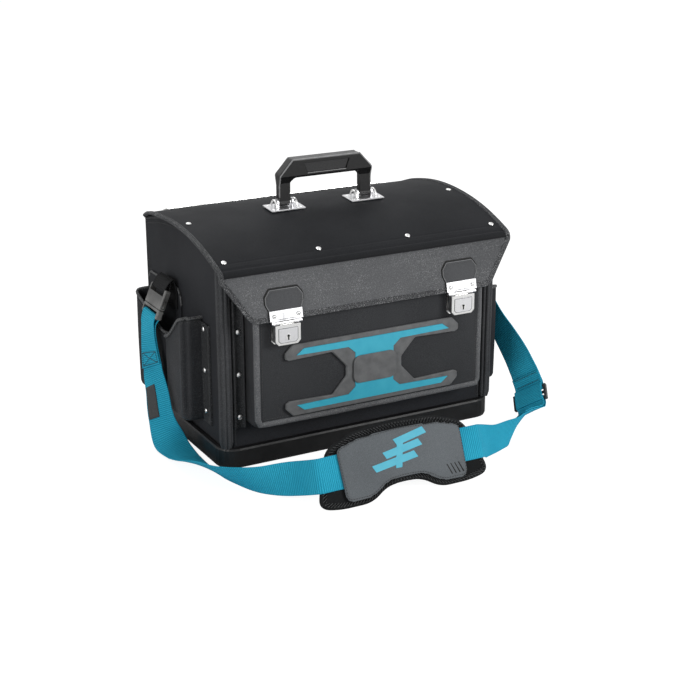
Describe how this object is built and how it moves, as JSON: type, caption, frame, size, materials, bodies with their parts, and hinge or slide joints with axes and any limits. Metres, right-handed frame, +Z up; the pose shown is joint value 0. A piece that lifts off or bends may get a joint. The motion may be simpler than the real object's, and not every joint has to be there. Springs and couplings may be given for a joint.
{
  "type": "tool case",
  "caption": "Boarded tool case on a moulded tray, with a domed lid and flap, key locks, side pockets, a folding handle and a padded shoulder strap",
  "frame": {"origin": "centre of the tray's underside", "axes": "+X to the right seen from the front, -Y the front with the locks, +Z up"},
  "size_m": [0.6119, 0.5141, 0.4336],
  "materials": {
    "tray_plastic": "fine moulded grain",
    "body_cloth": "coated cloth over board",
    "lid_cloth": "coated cloth over board, stitched hems",
    "lining_board": "dark lined hardboard",
    "nickel_plate": "bright nickel plate",
    "grip_plastic": "satin",
    "grey_rubber": "matte",
    "blue_trim": "satin",
    "blue_webbing": "ribbed webbing",
    "black_webbing": "ribbed webbing",
    "buckle_plastic": "satin",
    "pad_cloth": "matte woven"
  },
  "bodies": {
    "case": {"base_tray": "tray_plastic", "body_shell": "body_cloth", "floor_board": "lining_board", "tool_board": "lining_board", "corner_roll_left": "body_cloth", "corner_roll_right": "body_cloth", "front_strip_left": "body_cloth", "front_strip_right": "body_cloth", "front_rivets_left": "nickel_plate", "front_rivets_right": "nickel_plate", "front_pocket": "body_cloth", "left_holster_pocket": "body_cloth", "right_holster_pocket": "body_cloth", "left_tube_pocket": "body_cloth", "right_tube_pocket": "body_cloth", "left_pocket_strip": "body_cloth", "right_pocket_strip": "body_cloth", "left_side_rivets": "nickel_plate", "right_side_rivets": "nickel_plate", "hinge_body_leaf": "nickel_plate", "hinge_pin": "nickel_plate", "left_lock_base": "nickel_plate", "right_lock_base": "nickel_plate", "front_brace": "grey_rubber", "brace_inlay": "blue_trim", "brace_badge": "grey_rubber", "left_anchor_webbing": "black_webbing", "right_anchor_webbing": "black_webbing", "left_buckle_socket": "buckle_plastic", "right_buckle_socket": "buckle_plastic", "left_buckle_plug": "buckle_plastic", "right_buckle_plug": "buckle_plastic", "shoulder_strap": "blue_webbing", "strap_tail": "blue_webbing", "strap_slider": "buckle_plastic", "pad_backing": "black_webbing", "pad_cover": "pad_cloth", "pad_inlay": "blue_trim"},
    "lid": {"lid_cover": "lid_cloth", "lid_front_bar": "nickel_plate", "lid_handle_bar": "nickel_plate", "hinge_lid_leaf": "nickel_plate", "handle_plate_left": "nickel_plate", "handle_plate_right": "nickel_plate", "handle_pin_left": "nickel_plate", "handle_pin_right": "nickel_plate", "left_lock_tab": "lid_cloth", "right_lock_tab": "lid_cloth", "left_lock_strike": "nickel_plate", "right_lock_strike": "nickel_plate", "left_lock_pin": "nickel_plate", "right_lock_pin": "nickel_plate"},
    "handle": {"handle_grip": "grip_plastic"},
    "left_cover": {"left_lock_cover": "nickel_plate"},
    "left_cylinder": {"left_lock_cylinder": "nickel_plate"},
    "right_cover": {"right_lock_cover": "nickel_plate"},
    "right_cylinder": {"right_lock_cylinder": "nickel_plate"}
  },
  "joints": [
    {"name": "lid_hinge", "type": "hinge", "parent": "case", "child": "lid", "pos_m": [0, 0.1514, 0.3277], "axis": [-1, 0, 0], "range_deg": [0, 105]},
    {"name": "handle_swing", "type": "hinge", "parent": "lid", "child": "handle", "pos_m": [0, -0.0249, 0.36708], "axis": [1, 0, 0], "range_deg": [-82, 82]},
    {"name": "left_cover_hinge", "type": "hinge", "parent": "lid", "child": "left_cover", "pos_m": [-0.1505, -0.19265, 0.23407], "axis": [-1, 0, 0], "range_deg": [0, 90]},
    {"name": "left_key_turn", "type": "hinge", "parent": "left_cover", "child": "left_cylinder", "pos_m": [-0.1505, -0.19765, 0.21267], "axis": [0, -1, 0], "range_deg": [0, 90]},
    {"name": "right_cover_hinge", "type": "hinge", "parent": "lid", "child": "right_cover", "pos_m": [0.1505, -0.19265, 0.23407], "axis": [-1, 0, 0], "range_deg": [0, 90]},
    {"name": "right_key_turn", "type": "hinge", "parent": "right_cover", "child": "right_cylinder", "pos_m": [0.1505, -0.19765, 0.21267], "axis": [0, -1, 0], "range_deg": [0, 90]}
  ]
}
